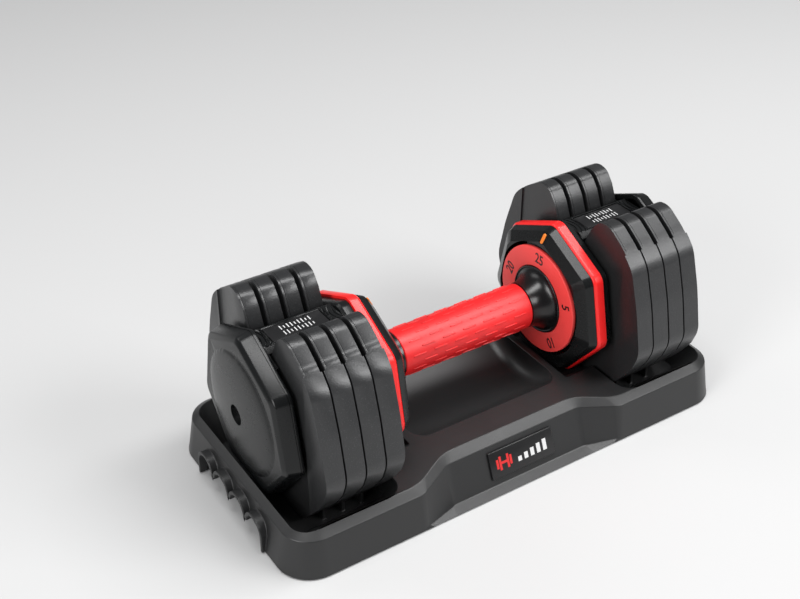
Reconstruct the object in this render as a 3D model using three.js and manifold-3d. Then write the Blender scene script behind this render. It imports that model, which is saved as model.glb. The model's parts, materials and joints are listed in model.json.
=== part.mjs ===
// Adjustable dumbbell with its tray. Millimetres, +X along the handle, -Y is the front, +Z up.
// The origin is on the floor under the middle of the tray. Everything is drawn docked, at the top setting.
import * as THREE from "three";
import { mergeVertices } from "three/addons/utils/BufferGeometryUtils.js";
import Module from "manifold-3d";

const wasm = await Module();
wasm.setup();

// ---------------------------------------------------------------- driving dimensions
const gap = 0.3; // left between pieces that touch on the real object
const axisHeight = 78.7; // handle axis above the floor
const settings = 5; // weights on the dial
const settingAngle = (2 * Math.PI) / settings;

const grip = { radius: 17, half: 54, bore: 13.3 };
const tube = { radius: 13, bore: 9.5, half: 65.5 };
const axle = { radius: 4.5, half: 165 };

const headSides = 7; // inner covers and end caps are seven-sided, one corner up
const dial = { x: 70, inner: 26, outer: 41, thick: 3 };
const headRounding = 9;
const cover = {
  mouth: 43.8, faceX: 70.6, faceRadius: 49, faceRounding: 30,
  edgeX: 75.5, edgeRadius: 56, backX: 81, backRadius: 58.5,
};
const band = { x0: cover.backX + gap, x1: 89, radius: 60, bore: 49 };
const housing = { x0: band.x1 + gap, x1: 96.5, radius: 58, wall: 4, cavity: 46, hole: 8 };
const indexRing = { x0: 82, x1: 88, radius: 22, notchDepth: 3.8, notchHalf: 3.2 };
const slider = { x0: 82.6, x1: 87.4, half: 30, top: 36, window: 24.5, toothHalf: 2.6 };
const sliderFoot = { half: 5, drop: 50.3 };

const plate = { x: 97.2, pitch: 14.6, thick: 13.4, step: 1.1, stepHalf: 57, count: 4 };
const slot = { half: 15, disc: 14, bridge: 13.8 };
const disc = { t0: 1, t1: 3, skirtEnd: 7.4, rim: 2.3, hub: 6.4 };
const peg = { t0: 3.8, web0: 8, web1: 11, half: 3, top: -7, bottom: -10.6 };

const cap = { backX: 156.5, backRadius: 61, edgeX: 168, edgeRadius: 58.3, bossX: 170.2, bossRadius: 42 };
const capTip = { x: 174, hole: 7.2, wall: 3.2, innerBoss: 12 };
const bridge = { x0: housing.x1 + gap, x1: cap.backX - gap, bottom: 34, side: 49, top: 52.5 };
const label = { x0: 106, x1: 148, half: 8.5, depth: 1.5 };

const tray = { base: 0.8, half: 183, depth: 88, corner: 25, rim: 33, floor: 10.4, wall: 3.2 };
const waist = { inner: 55.7, outer: 83.5 };
const scoop = { half: 62, radius: 60 };
const well = { x0: 94.6, x1: 171, y: 76, floorX0: 95.4, floorX1: 166, floorY: 54, corner: 14 };
const pocket = { x0: 67.6, x1: 97.5, half: 40, low: 29, z: 24.2 };
const fingers = { pitch: 23.5, count: 4, centreZ: 12.5, opening: 9.3, lip: 11.8, lipX: 185.2 };
const endGrip = { x: 168.2, half: 51, top: 24.5 };
const panel = { topY: 68.7, topZ: 30, lowY: 80, lowZ: 3 }; // the sloping panel of the waist

// ---------------------------------------------------------------- solids
const toSolid = (geometry) => {
  const bare = geometry.index ? geometry.toNonIndexed() : geometry.clone();
  bare.deleteAttribute("normal");
  bare.deleteAttribute("uv");
  const merged = mergeVertices(bare, 1e-4);
  return new wasm.Manifold(
    new wasm.Mesh({
      numProp: 3,
      vertProperties: merged.attributes.position.array,
      triVerts: new Uint32Array(merged.index.array),
    }),
  );
};

const toGeometry = (solid) => {
  const mesh = solid.getMesh();
  const geometry = new THREE.BufferGeometry();
  geometry.setAttribute("position", new THREE.BufferAttribute(mesh.vertProperties, 3));
  geometry.setIndex(new THREE.BufferAttribute(mesh.triVerts, 1));
  const flat = geometry.toNonIndexed();
  flat.computeVertexNormals();
  return flat;
};

const join = (first, ...others) => others.reduce((sum, other) => sum.add(other), first);
const cut = (first, ...others) => others.reduce((rest, other) => rest.subtract(other), first);

// A box given by its low and high corners, measured from the floor.
const box = (low, high) => {
  const size = high.map((v, i) => v - low[i]);
  const geometry = new THREE.BoxGeometry(...size);
  geometry.translate(...low.map((v, i) => v + size[i] / 2));
  return toSolid(geometry);
};

// The same with its heights measured from the handle axis.
const axisBox = ([x0, y0, z0], [x1, y1, z1]) => box([x0, y0, axisHeight + z0], [x1, y1, axisHeight + z1]);

// A shape drawn in Y and Z about the handle axis, run from x0 to x1.
const alongX = (shape, x0, x1, height = axisHeight) => {
  const run = { depth: x1 - x0, bevelEnabled: false, curveSegments: 8 };
  const geometry = new THREE.ExtrudeGeometry(shape, run);
  const turn = new THREE.Matrix4().makeBasis(
    new THREE.Vector3(0, 1, 0),
    new THREE.Vector3(0, 0, 1),
    new THREE.Vector3(1, 0, 0),
  );
  geometry.applyMatrix4(turn);
  geometry.translate(x0, 0, height);
  return toSolid(geometry);
};

// A closed profile of [x, radius] points turned about the handle axis.
const turned = (profile, segments = 28) => {
  const points = profile.map(([x, r]) => new THREE.Vector2(r, x));
  const geometry = new THREE.LatheGeometry([...points, points[0]], segments);
  geometry.rotateZ(-Math.PI / 2);
  geometry.translate(0, 0, axisHeight);
  const solid = toSolid(geometry);
  if (solid.volume() > 0) return solid;
  return turned([...profile].reverse(), segments);
};

const ringOf = (x0, x1, inner, outer, segments = 24) =>
  turned([[x0, inner], [x1, inner], [x1, outer], [x0, outer]], segments);

const rodOf = (x0, x1, radius, segments = 28) => {
  const geometry = new THREE.CylinderGeometry(radius, radius, x1 - x0, segments);
  geometry.rotateZ(-Math.PI / 2);
  geometry.translate((x0 + x1) / 2, 0, axisHeight);
  return toSolid(geometry);
};

// Rings with the same number of points each, joined in order and closed at both ends.
const loft = (rings) => {
  const count = rings[0].length;
  const centres = [rings[0], rings.at(-1)].map((ring) => {
    const sum = ring.reduce((total, p) => total.add(p), new THREE.Vector3());
    return sum.divideScalar(count);
  });
  const vertices = [...rings.flat(), ...centres];
  const faces = [];
  for (let r = 0; r < rings.length - 1; r += 1) {
    for (let i = 0; i < count; i += 1) {
      const a = r * count + i;
      const b = r * count + ((i + 1) % count);
      faces.push(a, b, b + count, a, b + count, a + count);
    }
  }
  const start = vertices.length - 2;
  const last = (rings.length - 1) * count;
  for (let i = 0; i < count; i += 1) {
    const next = (i + 1) % count;
    faces.push(start, next, i);
    faces.push(start + 1, last + i, last + next);
  }
  const geometry = new THREE.BufferGeometry().setFromPoints(vertices);
  geometry.setIndex(faces);
  const solid = toSolid(geometry);
  if (solid.volume() > 0) return solid;
  return loft([...rings].reverse());
};

// One ring of a seven-sided head: corners rounded, one corner up.
const headRing = (x, radius, rounding = headRounding, steps = 3) => {
  const ring = [];
  const half = Math.PI / headSides;
  const toArc = radius - rounding / Math.cos(half);
  for (let corner = 0; corner < headSides; corner += 1) {
    const middle = Math.PI / 2 + corner * 2 * half;
    for (let step = 0; step <= steps; step += 1) {
      const angle = middle - half + (step / steps) * 2 * half;
      const y = toArc * Math.cos(middle) + rounding * Math.cos(angle);
      const z = toArc * Math.sin(middle) + rounding * Math.sin(angle);
      ring.push(new THREE.Vector3(x, y, axisHeight + z));
    }
  }
  return ring;
};
const head = (...sections) => loft(sections.map(([x, radius, rounding]) => headRing(x, radius, rounding)));

// ---------------------------------------------------------------- materials
const paint = (color, roughness, metalness = 0) =>
  new THREE.MeshStandardMaterial({ color, roughness, metalness });
const finish = {
  trayPlastic: () => paint(0x2b2c2e, 0.55),
  coverPlastic: () => paint(0x1d1e20, 0.4),
  glossPlastic: () => paint(0x0d0d0f, 0.15),
  redPlastic: () => paint(0xc8151a, 0.4),
  redRubber: () => paint(0xc4181d, 0.6),
  orangePlastic: () => paint(0xd9772a, 0.5),
  plateCoat: () => paint(0x3a3b3d, 0.6),
  blackRubber: () => paint(0x17181a, 0.85),
  greyPlastic: () => paint(0x55575a, 0.6),
  steel: () => paint(0x9a9c9f, 0.35, 1),
};

const part = new THREE.Group();
const add = (name, solid, material, side = 1) => {
  const mesh = new THREE.Mesh(toGeometry(solid), material());
  mesh.name = name;
  mesh.scale.x = side;
  part.add(mesh);
};

// Pieces that both ends have are drawn on the +X side and mirrored for the left.
const ends = [["right", 1], ["left", -1]];
const addPair = (name, solid, material, number = "") => {
  for (const [end, side] of ends) add(`${name}_${end}${number}`, solid, material, side);
};

// ---------------------------------------------------------------- handle, which turns
const gripSleeve = () => {
  const { half, radius, bore } = grip;
  const round = 1.2;
  return turned([
    [-half, bore], [half, bore], [half, radius - round], [half - round, radius],
    [-half + round, radius], [-half, radius - round],
  ]);
};

// A glossy trumpet that flares from the grip out to the dial and clamps the tube's end.
const collar = () => {
  const start = grip.half + gap;
  const flare = dial.inner - gap - grip.radius;
  const profile = [[start, grip.bore]];
  const steps = 6;
  for (let step = 0; step <= steps; step += 1) {
    const angle = (step / steps) * (Math.PI / 2);
    const x = start + (dial.x - start) * Math.sin(angle);
    profile.push([x, grip.radius + flare * (1 - Math.cos(angle))]);
  }
  const backX = dial.x + dial.thick + 4;
  profile.push([backX, dial.inner - gap], [backX, axle.radius + gap]);
  profile.push([tube.half + gap, axle.radius + gap], [tube.half + gap, grip.bore]);
  return turned(profile);
};

const dialRing = () => ringOf(dial.x, dial.x + dial.thick, dial.inner, dial.outer, 40);

// One notch for each setting, in step with the lock slider's tooth.
const indexRingSolid = () => {
  const { x0, x1, radius, notchDepth, notchHalf } = indexRing;
  let ring = ringOf(x0, x1, axle.radius + gap, radius);
  for (let k = 0; k < settings; k += 1) {
    const geometry = new THREE.BoxGeometry(x1 - x0 + 2, 2 * notchHalf, 2 * notchDepth);
    geometry.translate((x0 + x1) / 2, 0, radius);
    geometry.rotateX(k * settingAngle);
    geometry.translate(0, 0, axisHeight);
    ring = cut(ring, toSolid(geometry));
  }
  return ring;
};

// A disc with a part skirt that reaches under the peg of its plate at the settings that use the plate.
const selectorDisc = (index) => {
  const x = plate.x + index * plate.pitch;
  const hub = ringOf(x + disc.t0, x + plate.pitch - 0.2, axle.radius + gap, disc.hub, 14);
  const web = ringOf(x + disc.t0, x + disc.t1, axle.radius + gap, slot.disc);
  const spread = Math.PI / 6;
  const from = -Math.PI / 2 - (plate.count - 1 - index) * settingAngle - spread;
  const to = -Math.PI / 2 + spread;
  const arc = new THREE.Shape();
  arc.absarc(0, 0, slot.disc, from, to, false);
  arc.absarc(0, 0, slot.disc - disc.rim, to, from, true);
  const skirt = alongX(arc, x + disc.t1 - 0.5, x + disc.skirtEnd);
  return join(hub, web, skirt);
};

const axleBolt = () => {
  const x = axle.half + gap;
  const socket = new THREE.CylinderGeometry(3.2, 3.2, 5, 6);
  socket.rotateZ(-Math.PI / 2);
  socket.translate(x + 4.5, 0, axisHeight);
  return cut(rodOf(x, x + 4.2, 6.6, 18), toSolid(socket));
};

add("grip_sleeve", gripSleeve(), finish.redRubber);
add("handle_tube", ringOf(-tube.half, tube.half, tube.bore, tube.radius, 24), finish.steel);
add("axle", rodOf(-axle.half, axle.half, axle.radius, 16), finish.steel);
addPair("collar", collar(), finish.glossPlastic);
addPair("dial_ring", dialRing(), finish.redPlastic);
addPair("index_ring", indexRingSolid(), finish.steel);
for (let i = 0; i < plate.count; i += 1) {
  addPair("selector_disc", selectorDisc(i), finish.greyPlastic, `_${i + 1}`);
}
addPair("axle_bolt", axleBolt(), finish.steel);

// ---------------------------------------------------------------- core, which holds the handle
const frontCover = () => {
  const shell = head(
    [cover.faceX, cover.faceRadius, cover.faceRounding],
    [cover.edgeX, cover.edgeRadius],
    [cover.backX, cover.backRadius],
  );
  const mouth = rodOf(cover.faceX - 1, cover.backX + 1, cover.mouth, 40);
  const chamber = rodOf(cover.edgeX, cover.backX + 1, band.bore);
  return cut(shell, mouth, chamber);
};

const redBand = () => {
  const { x0, x1, radius } = band;
  const shell = head([x0, radius - 0.8], [x0 + 1.5, radius], [x1, radius]);
  const holeHalf = sliderFoot.half + 0.6;
  const footHole = axisBox([slider.x0 - 0.5, -holeHalf, -60], [slider.x1 + 0.5, holeHalf, -45]);
  return cut(shell, rodOf(x0 - 1, x1 + 1, band.bore), footHole);
};

const backHousing = () => {
  const { x0, x1, radius } = housing;
  const shell = head([x0, radius], [x1 - 2, radius - 1], [x1, radius - 2.5]);
  const cavity = rodOf(x0 - 1, x1 - housing.wall, housing.cavity);
  const window = axisBox([x0, -12.4, bridge.bottom + 0.6], [x1 + 1, 12.4, 43.4]);
  return cut(shell, cavity, rodOf(80, 100, housing.hole, 20), window);
};

// The frame slides down round the index ring until its top tooth drops into a notch.
const lockSlider = () => {
  const { x0, x1, half, top, window, toothHalf } = slider;
  const frame = cut(
    axisBox([x0, -half, -half], [x1, half, top]),
    axisBox([x0 - 1, -window, -window], [x1 + 1, window, window + 4]),
  );
  const tooth = axisBox([x0, -toothHalf, indexRing.radius + 0.6], [x1, toothHalf, window + 5]);
  const foot = axisBox([x0, -sliderFoot.half, -sliderFoot.drop], [x1, sliderFoot.half, -window - 1]);
  return join(frame, tooth, foot);
};

class Helix extends THREE.Curve {
  constructor(radius, length, turns) {
    super();
    Object.assign(this, { radius, length, turns });
  }
  getPoint(t, target = new THREE.Vector3()) {
    const angle = t * this.turns * 2 * Math.PI;
    return target.set(this.radius * Math.cos(angle), this.radius * Math.sin(angle), t * this.length);
  }
}
const lockSpring = () => {
  const wire = 0.5;
  const bottom = slider.top + gap + wire;
  const path = new Helix(2.6, 48.2 - wire - bottom, 5);
  const section = new THREE.Shape().absarc(0, 0, wire, 0, 2 * Math.PI, false);
  const geometry = new THREE.ExtrudeGeometry(section, { steps: 36, extrudePath: path, curveSegments: 3 });
  geometry.translate((slider.x0 + slider.x1) / 2, 0, axisHeight + bottom);
  return toSolid(geometry);
};

// The spine that ties the inner head to the end cap through the plates' slots.
const bridgeSolid = () => {
  const { x0, x1, bottom, side, top } = bridge;
  const section = new THREE.Shape([
    [-slot.bridge, bottom], [slot.bridge, bottom], [slot.bridge, side], [slot.bridge - 4, top],
    [-slot.bridge + 4, top], [-slot.bridge, side],
  ].map(([y, z]) => new THREE.Vector2(y, z)));
  const beam = alongX(section, x0, x1);
  const innerTongue = axisBox([x0 - 3.8, -12, bottom + 1], [x0 + 1, 12, 43]);
  const outerTongue = axisBox([x1 - 1, -12, bottom + 1], [x1 + 7, 12, 46.5]);
  const recess = axisBox([label.x0, -label.half, top - label.depth], [label.x1, label.half, top + 1]);
  return cut(join(beam, innerTongue, outerTongue), recess);
};

const labelPanel = () => {
  const { x0, x1, half, depth } = label;
  const low = bridge.top - depth + gap;
  return axisBox([x0 + 0.5, -half + 0.5, low], [x1 - 0.5, half - 0.5, bridge.top - 0.2]);
};

const endCap = () => {
  const { backX, backRadius, edgeX, edgeRadius, bossX, bossRadius } = cap;
  const { wall } = capTip;
  const shell = head([backX, backRadius], [edgeX, edgeRadius], [bossX, bossRadius + 4, 20]);
  const dome = turned([
    [bossX - 6, 0], [bossX - 6, bossRadius], [bossX + 0.8, bossRadius], [bossX + 2, 36],
    [bossX + 3.2, 22], [capTip.x, 10], [capTip.x, 0],
  ], 32);
  const hollow = head([backX - 1, backRadius - wall, 7], [edgeX - wall, edgeRadius - wall - 0.5, 7]);
  const boss = rodOf(backX + 1.5, edgeX, capTip.innerBoss);
  return cut(join(cut(join(shell, dome), hollow), boss), rodOf(backX - 2, capTip.x + 1, capTip.hole, 20));
};

const endBush = () => ringOf(cap.backX + 2, axle.half - 1, axle.radius + gap, capTip.hole - gap, 16);
const innerBush = () => ringOf(housing.x1 - 4.5, housing.x1 + 0.5, axle.radius + gap, housing.hole - gap, 16);

// The pointer lies on the cover's sloping face, above the dial.
const pointer = () => {
  const low = headRing(cover.faceX, cover.faceRadius, cover.faceRounding, 2)[1];
  const high = headRing(cover.edgeX, cover.edgeRadius, headRounding, 2)[1];
  const tilt = Math.atan2(high.x - low.x, high.z - low.z);
  const thick = 1;
  const geometry = new THREE.BoxGeometry(thick, 3, 8);
  geometry.translate(-thick / 2 - gap, 0, 0);
  geometry.rotateY(tilt);
  const middle = low.clone().lerp(high, 0.5);
  geometry.translate(middle.x, 0, middle.z);
  return toSolid(geometry);
};

addPair("front_cover", frontCover(), finish.coverPlastic);
addPair("red_band", redBand(), finish.redPlastic);
addPair("back_housing", backHousing(), finish.coverPlastic);
addPair("pointer", pointer(), finish.orangePlastic);
addPair("lock_slider", lockSlider(), finish.greyPlastic);
addPair("lock_spring", lockSpring(), finish.steel);
addPair("bridge", bridgeSolid(), finish.coverPlastic);
addPair("label_panel", labelPanel(), finish.greyPlastic);
addPair("end_cap", endCap(), finish.coverPlastic);
addPair("inner_bush", innerBush(), finish.greyPlastic);
addPair("end_bush", endBush(), finish.greyPlastic);

// ---------------------------------------------------------------- weight plates
// Half of the outline, from the top of the slot down to the flat bottom, in Y and Z about the axis.
const plateEdge = [
  [slot.half, 48], [21, 61], [28, 69.5], [38, 71], [57, 58.6], [66, 48], [75, 20],
  [82, -12], [77, -26], [67, -41], [45, -66],
];
const roundAt = { 2: 5, 3: 8, 4: 6, 5: 9, 7: 12, 8: 6, 9: 12, 10: 5 };

// Cuts each named corner of an outline back by a distance and bridges it with a smooth curve.
const softened = (points, trims) => {
  const out = [];
  points.forEach((point, i) => {
    const corner = new THREE.Vector2(...point);
    const trim = trims[i];
    if (!trim) {
      out.push(corner);
      return;
    }
    const before = new THREE.Vector2(...points[i - 1]);
    const after = new THREE.Vector2(...(points[i + 1] ?? [0, -68]));
    const start = corner.clone().add(before.sub(corner).setLength(trim / 2));
    const end = corner.clone().add(after.sub(corner).setLength(trim / 2));
    out.push(...new THREE.QuadraticBezierCurve(start, corner, end).getPoints(2));
  });
  return out;
};

const plateSolid = (index) => {
  const x = plate.x + index * plate.pitch;
  const edge = softened(plateEdge, roundAt);
  const mirrored = edge.map((p) => new THREE.Vector2(-p.x, p.y)).reverse();
  const outline = new THREE.Shape();
  outline.setFromPoints([...edge, new THREE.Vector2(0, -68), ...mirrored]);
  outline.lineTo(-slot.half, 0);
  outline.absarc(0, 0, slot.half, Math.PI, 2 * Math.PI, false);
  const body = alongX(outline, x, x + plate.thick);
  // Both faces are cut back between the wings.
  const { step, stepHalf } = plate;
  const steps = [x - 1, x + plate.thick - step].map((start) =>
    axisBox([start, -stepHalf, -80], [start + 1 + step, stepHalf, 80]),
  );
  const web = axisBox([x + peg.web0, -peg.half, -slot.half - 1], [x + peg.web1, peg.half, peg.top]);
  const hook = axisBox([x + peg.t0, -peg.half, peg.bottom], [x + peg.web0 + 1, peg.half, peg.top]);
  return join(cut(body, ...steps), web, hook);
};

for (let i = 0; i < plate.count; i += 1) {
  addPair("plate", plateSolid(i), finish.plateCoat, `_${i + 1}`);
}

// ---------------------------------------------------------------- tray
// A closed ring round the tray: sides at y, ends at x, waisted to waistY, with its own height there.
const trayRing = ({ x, y, z, corner, waistY = y, waistZ = z }) => {
  const quarter = [
    [0, waistY, waistZ],
    [waist.inner, waistY, waistZ],
    [waist.outer, y, z],
  ];
  const steps = 6;
  for (let step = 0; step <= steps; step += 1) {
    const angle = (step / steps) * (Math.PI / 2);
    quarter.push([x - corner + corner * Math.sin(angle), y - corner + corner * Math.cos(angle), z]);
  }
  const back = quarter.slice(1);
  const ring = [
    ...quarter,
    ...back.map(([px, py, pz]) => [px, -py, pz]).reverse(),
    [0, -waistY, waistZ],
    ...back.map(([px, py, pz]) => [-px, -py, pz]),
    ...back.map(([px, py, pz]) => [-px, py, pz]).reverse(),
  ];
  return ring.map((p) => new THREE.Vector3(...p));
};

const roundedRing = (x0, x1, y, corner, z) => {
  const ring = [];
  const corners = [[x1, y, 0], [x0, y, 1], [x0, -y, 2], [x1, -y, 3]];
  for (const [cx, cy, quarter] of corners) {
    const steps = 3;
    for (let step = 0; step <= steps; step += 1) {
      const angle = (quarter + step / steps) * (Math.PI / 2);
      const px = cx - Math.sign(cx - (x0 + x1) / 2) * corner + corner * Math.cos(angle);
      ring.push(new THREE.Vector3(px, cy - Math.sign(cy) * corner + corner * Math.sin(angle), z));
    }
  }
  return ring;
};

const trayBody = () =>
  loft([
    trayRing({ x: tray.half, y: tray.depth, z: tray.base, corner: tray.corner }),
    trayRing({
      x: tray.half - 0.4, y: tray.depth - 0.6, z: 3, corner: tray.corner,
      waistY: panel.lowY, waistZ: panel.lowZ,
    }),
    trayRing({ x: 178.3, y: 83.3, z: 29, corner: 21, waistY: panel.topY, waistZ: panel.topZ }),
    trayRing({ x: 172.2, y: 77, z: tray.rim, corner: 15, waistY: 63.2, waistZ: 36.2 }),
  ]);

// The hollows that the plates, heads and hand drop into, drawn on the +X side.
const endHollows = () => {
  const top = tray.rim + 6;
  const plateWell = loft([
    roundedRing(well.floorX0, well.floorX1, well.floorY, 6, tray.floor),
    roundedRing(well.x0, well.x1 + 3, well.y + 6, well.corner, top),
  ]);
  const headPocket = loft([
    roundedRing(pocket.x0 + 1, pocket.x1, pocket.low, 2, pocket.z),
    roundedRing(pocket.x0, pocket.x1, pocket.half + 8, 2, top),
  ]);
  return join(plateWell, headPocket);
};

const scoopCut = () => {
  const round = new THREE.Shape().absarc(0, 0, scoop.radius, 0, 2 * Math.PI, false);
  return alongX(round, -scoop.half, scoop.half);
};

// Under the tray: a shallow hollow all over and a deeper one behind each finger grip.
const underside = () => {
  const low = tray.base - 1;
  const wide = loft([
    roundedRing(-179, 179, 76, 16, low),
    roundedRing(-177.5, 177.5, 75, 14, tray.floor - tray.wall),
  ]);
  const middle = box([-54, -50, low], [54, 50, 15]);
  return join(wide, middle);
};

const fingerHollow = () => {
  const corners = [[168.5, 0], [180, 0], [176, 22], [172.2, 22]];
  const wedge = new THREE.Shape(corners.map(([x, z]) => new THREE.Vector2(x, z)));
  const geometry = new THREE.ExtrudeGeometry(wedge, { depth: 96, bevelEnabled: false });
  geometry.rotateX(Math.PI / 2);
  geometry.translate(0, 48, 0);
  return toSolid(geometry);
};

// A row of arches over an open foot, run through the end wall.
const fingerArches = (radius, x0, x1, footHalf) => {
  const arches = [box([x0, -footHalf, 0], [x1, footHalf, fingers.centreZ])];
  for (let i = 0; i < fingers.count; i += 1) {
    const y = (i - (fingers.count - 1) / 2) * fingers.pitch;
    const circle = new THREE.Shape().absarc(y, fingers.centreZ, radius, 0, 2 * Math.PI, false);
    arches.push(alongX(circle, x0, x1, 0));
  }
  return join(...arches);
};

// Ribs between the plates, in the room that the plates' steps leave.
const dividers = () => {
  const ribs = [];
  const thick = 2.4;
  const height = 22;
  for (let i = 1; i < plate.count; i += 1) {
    const middle = plate.x + i * plate.pitch - (plate.pitch - plate.thick) / 2;
    ribs.push(box([middle - thick / 2, -50, tray.floor - 1], [middle + thick / 2, 50, height]));
  }
  return ribs;
};

const wholeTray = () => {
  const footHalf = (fingers.count / 2) * fingers.pitch;
  let shell = cut(trayBody(), scoopCut(), underside());
  for (const [, side] of ends) {
    const mirror = (solid) => (side > 0 ? solid : solid.mirror([1, 0, 0]));
    const lipBlock = fingerArches(fingers.lip, 176, fingers.lipX, footHalf);
    const lip = cut(lipBlock, box([170, -60, -20], [190, 60, tray.base]));
    const opening = fingerArches(fingers.opening, 170, 190, footHalf - (fingers.lip - fingers.opening));
    shell = cut(shell, mirror(endHollows()));
    shell = cut(join(shell, mirror(lip)), mirror(join(opening, fingerHollow())));
    shell = join(shell, ...dividers().map(mirror));
  }
  return shell;
};

// The scalloped end wall is a piece of its own at each end, with a joint line round it.
const endGripBox = (side, clear) => {
  const { x, half, top } = endGrip;
  const block = box([x - clear, -half - clear, -1], [fingers.lipX + 2, half + clear, top + clear]);
  return side > 0 ? block : block.mirror([1, 0, 0]);
};

// A thin plate that lies on the sloping panel of the waist.
const badge = (side) => {
  const slope = Math.atan2(panel.lowY - panel.topY, panel.topZ - panel.lowZ);
  const geometry = new THREE.BoxGeometry(54, 1.2, 20);
  geometry.rotateX(-slope);
  geometry.translate(3 * side, -75.2, 17.2);
  const solid = toSolid(geometry);
  return side > 0 ? solid : solid.mirror([0, 1, 0]);
};

const releasePost = () => {
  const inset = 0.6;
  const top = axisHeight - sliderFoot.drop - gap;
  return box([slider.x0 + inset, -4.2, pocket.z + gap], [slider.x1 - inset, 4.2, top]);
};

const foot = (x, y) => {
  const height = tray.floor - tray.wall - gap;
  const geometry = new THREE.CylinderGeometry(8, 8.6, height, 16);
  geometry.rotateX(Math.PI / 2);
  geometry.translate(x, y, height / 2);
  return toSolid(geometry);
};

const trayWithEnds = wholeTray();
add("tray_shell", cut(trayWithEnds, endGripBox(1, gap), endGripBox(-1, gap)), finish.trayPlastic);
addPair("tray_end_grip", trayWithEnds.intersect(endGripBox(1, 0)), finish.trayPlastic);
add("badge_front", badge(1), finish.glossPlastic);
add("badge_rear", badge(-1), finish.glossPlastic);
addPair("release_post", releasePost(), finish.greyPlastic);
for (const [end, side] of ends) {
  add(`foot_front_${end}`, foot(side * 140, -62), finish.blackRubber);
  add(`foot_rear_${end}`, foot(side * 140, 62), finish.blackRubber);
}

export default part;
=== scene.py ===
import json
import math

import bpy
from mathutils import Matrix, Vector

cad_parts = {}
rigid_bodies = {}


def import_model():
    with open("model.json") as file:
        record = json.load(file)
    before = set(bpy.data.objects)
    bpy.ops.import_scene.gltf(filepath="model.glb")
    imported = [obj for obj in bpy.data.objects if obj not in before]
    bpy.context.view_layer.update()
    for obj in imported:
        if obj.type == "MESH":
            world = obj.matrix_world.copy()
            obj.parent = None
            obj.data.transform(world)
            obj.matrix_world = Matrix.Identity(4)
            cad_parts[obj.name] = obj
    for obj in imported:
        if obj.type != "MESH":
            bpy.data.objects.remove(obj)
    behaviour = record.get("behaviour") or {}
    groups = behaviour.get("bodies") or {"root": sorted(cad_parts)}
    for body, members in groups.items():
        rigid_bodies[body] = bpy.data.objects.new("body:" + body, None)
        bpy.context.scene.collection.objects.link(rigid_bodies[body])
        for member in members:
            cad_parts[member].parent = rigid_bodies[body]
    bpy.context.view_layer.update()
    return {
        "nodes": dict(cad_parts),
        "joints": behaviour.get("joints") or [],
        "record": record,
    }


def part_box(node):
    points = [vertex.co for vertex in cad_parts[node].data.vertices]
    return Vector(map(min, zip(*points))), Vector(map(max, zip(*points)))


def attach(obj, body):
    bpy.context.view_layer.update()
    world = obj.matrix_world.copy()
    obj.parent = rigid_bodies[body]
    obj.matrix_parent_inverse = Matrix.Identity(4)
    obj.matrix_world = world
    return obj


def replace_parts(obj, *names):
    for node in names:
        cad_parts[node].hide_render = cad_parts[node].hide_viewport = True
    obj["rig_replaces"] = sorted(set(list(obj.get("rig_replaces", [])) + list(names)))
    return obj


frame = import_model()
handleJoint = next(joint for joint in frame["joints"] if joint["name"] == "handle_turn")
axisZ = handleJoint["pos_m"][2]
axisPoint = (0, 0, axisZ)
mm = 0.001
near = 0.00001  # places closer than this count as one
print("frame loaded, handle axis at", round(axisZ, 4))

cameraView = {
    "place": (-0.4281, -0.5844, 0.5933),
    "turn": (55.92, 0, -33.01),
    "lens": 56.75,
    "sensor": 36,
}
studioLights = {
    # name: place, what it aims at, width and height, power
    "key_front_right": ((0.9, -1.2, 1.12), (0, 0, 0.06), (1.0, 0.65), 21),
    "roof": ((0.4, -0.13, 2.0), (0.2, -0.1, 0.05), (0.62, 2.5), 48),
    "fill_left": ((-1.4, -0.45, 0.75), (0, 0, 0.08), (0.6, 0.9), 14),
    "back_left": ((-0.8, 1.3, 1.3), (0, 0, 0.05), (0.9, 0.6), 4),
}
studioAir = {"colour": (0.97, 0.98, 1, 1), "strength": 0.18}


def makeCamera():
    data = bpy.data.cameras.new("camera")
    data.lens = cameraView["lens"]
    data.sensor_width = cameraView["sensor"]
    camera = bpy.data.objects.new("camera", data)
    camera.location = cameraView["place"]
    camera.rotation_euler = [math.radians(a) for a in cameraView["turn"]]
    bpy.context.scene.collection.objects.link(camera)
    bpy.context.scene.camera = camera


def softbox(name, place, target, size, power):
    data = bpy.data.lights.new(name, "AREA")
    data.shape = "RECTANGLE"
    data.size, data.size_y = size
    data.energy = power
    lamp = bpy.data.objects.new(name, data)
    lamp.location = place
    lamp.rotation_euler = (Vector(target) - Vector(place)).to_track_quat("-Z", "Y").to_euler()
    bpy.context.scene.collection.objects.link(lamp)


def makeAir():
    # the even light that comes from all round
    world = bpy.data.worlds.new("studio")
    bpy.context.scene.world = world
    world.use_nodes = True
    background = world.node_tree.nodes["Background"]
    background.inputs["Color"].default_value = studioAir["colour"]
    background.inputs["Strength"].default_value = studioAir["strength"]


makeCamera()
for name, settings in studioLights.items():
    softbox(name, *settings)
makeAir()
bpy.context.scene.view_settings.view_transform = "Standard"
print("camera and lights set")


def newGroup(name, inputs, outputs):
    # inputs and outputs are dictionaries of socket name to kind, or to (kind, start value)
    group = bpy.data.node_groups.new(name, "ShaderNodeTree")
    for side, sockets in (("INPUT", inputs), ("OUTPUT", outputs)):
        for label, kind in sockets.items():
            kind, start = kind if isinstance(kind, tuple) else (kind, None)
            socket = group.interface.new_socket(label, in_out=side, socket_type=kind)
            if start is not None:
                socket.default_value = start
    given, out = group.nodes.new("NodeGroupInput"), group.nodes.new("NodeGroupOutput")
    return group, given.outputs, out.inputs


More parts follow.
